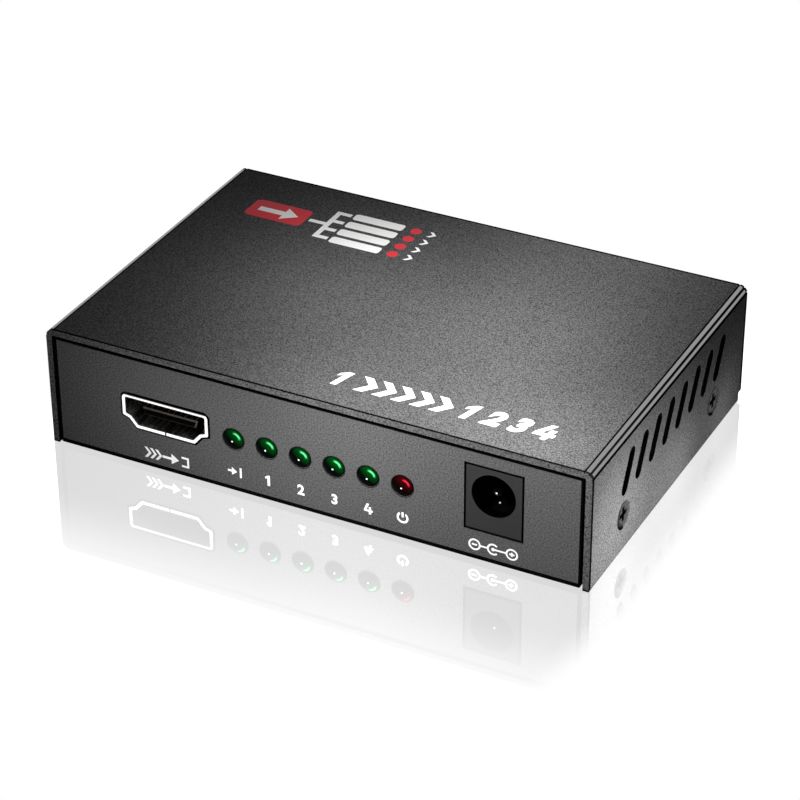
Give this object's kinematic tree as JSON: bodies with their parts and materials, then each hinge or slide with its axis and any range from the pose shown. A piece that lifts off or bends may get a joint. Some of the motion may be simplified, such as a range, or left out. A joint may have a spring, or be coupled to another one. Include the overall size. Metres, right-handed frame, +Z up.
{
  "type": "hdmi splitter",
  "caption": "Small black folded-steel video splitter with one input socket, a lamp row and a barrel jack in front, output sockets behind and slanted side vents.",
  "frame": {"origin": "on the floor under the middle of the case: bottom centre of the box round the whole part", "axes": "+X to the right seen from the front panel, along the longest side; +Y from front to rear; +Z up, the shortest side"},
  "size_m": [0.091, 0.061, 0.0203],
  "materials": {
    "black_powder_coat": "fine-grained black powder coat, satin",
    "screw_black": "black oxide, satin",
    "circuit_board": "green solder mask over glass laminate",
    "zinc_plate": "bright zinc plate",
    "tinned_lead": "tinned",
    "socket_shell": "nickel plate",
    "socket_plastic": "black moulded",
    "gold_contact": "gold flash",
    "lamp_green": "clear green lens",
    "lamp_red": "clear red lens",
    "black_plastic": "black moulded",
    "chip_body": "moulded epoxy",
    "thermal_pad": "soft silicone pad",
    "heat_sink": "black anodised",
    "ferrite": "pressed ferrite",
    "capacitor_can": "drawn aluminium can",
    "fuse_body": "coated polymer",
    "ceramic_body": "fired ceramic",
    "resistor_body": "black film on ceramic",
    "jack_plastic": "dark moulded plastic",
    "jack_metal": "nickel plate"
  },
  "bodies": {
    "case": {"base_tray": "black_powder_coat", "board_screws": "zinc_plate", "board_standoffs": "zinc_plate", "ceramic_capacitors": "ceramic_body", "circuit_board": "circuit_board", "clock_crystal": "zinc_plate", "controller_chip": "chip_body", "controller_chip_leads": "tinned_lead", "heat_sink": "heat_sink", "input_diode": "chip_body", "input_diode_leads": "tinned_lead", "input_fuse": "fuse_body", "input_socket_contacts": "gold_contact", "input_socket_housing": "socket_plastic", "input_socket_shell": "socket_shell", "lamp_holders": "black_plastic", "lamp_input": "lamp_green", "lamp_leads": "tinned_lead", "lamp_output_1": "lamp_green", "lamp_output_2": "lamp_green", "lamp_output_3": "lamp_green", "lamp_output_4": "lamp_green", "lamp_power": "lamp_red", "memory_chip_leads": "tinned_lead", "memory_chips": "chip_body", "output_1_socket_contacts": "gold_contact", "output_1_socket_housing": "socket_plastic", "output_1_socket_shell": "socket_shell", "output_2_socket_contacts": "gold_contact", "output_2_socket_housing": "socket_plastic", "output_2_socket_shell": "socket_shell", "output_3_socket_contacts": "gold_contact", "output_3_socket_housing": "socket_plastic", "output_3_socket_shell": "socket_shell", "output_4_socket_contacts": "gold_contact", "output_4_socket_housing": "socket_plastic", "output_4_socket_shell": "socket_shell", "power_inductor": "ferrite", "power_jack_body": "jack_plastic", "power_jack_pin": "jack_metal", "power_jack_terminals": "jack_metal", "resistors": "resistor_body", "smoothing_capacitor_bases": "black_plastic", "smoothing_capacitors": "capacitor_can", "splitter_chip": "chip_body", "splitter_chip_leads": "tinned_lead", "step_down_chip": "chip_body", "step_down_chip_leads": "tinned_lead", "surge_arrays": "chip_body", "thermal_pad": "thermal_pad", "top_cover": "black_powder_coat", "voltage_regulator_leads": "tinned_lead", "voltage_regulators": "chip_body"},
    "case_screw_left_front": {"case_screw_left_front": "screw_black"},
    "case_screw_left_rear": {"case_screw_left_rear": "screw_black"},
    "case_screw_right_front": {"case_screw_right_front": "screw_black"},
    "case_screw_right_rear": {"case_screw_right_rear": "screw_black"},
    "jack_leaf": {"power_jack_leaf": "jack_metal"}
  },
  "joints": [
    {"name": "case_screw_left_front_travel", "type": "slide", "parent": "case", "child": "case_screw_left_front", "axis": [-1, 0, 0], "range_m": [0, 0.004]},
    {"name": "case_screw_left_rear_travel", "type": "slide", "parent": "case", "child": "case_screw_left_rear", "axis": [-1, 0, 0], "range_m": [0, 0.004]},
    {"name": "case_screw_right_front_travel", "type": "slide", "parent": "case", "child": "case_screw_right_front", "axis": [1, 0, 0], "range_m": [0, 0.004]},
    {"name": "case_screw_right_rear_travel", "type": "slide", "parent": "case", "child": "case_screw_right_rear", "axis": [1, 0, 0], "range_m": [0, 0.004]},
    {"name": "jack_leaf_bend", "type": "hinge", "parent": "case", "child": "jack_leaf", "pos_m": [0.03021, -0.0208, 0.00755], "axis": [1, 0, 0], "range_deg": [0, 3], "stiffness_Nm_per_rad": 0.05}
  ]
}
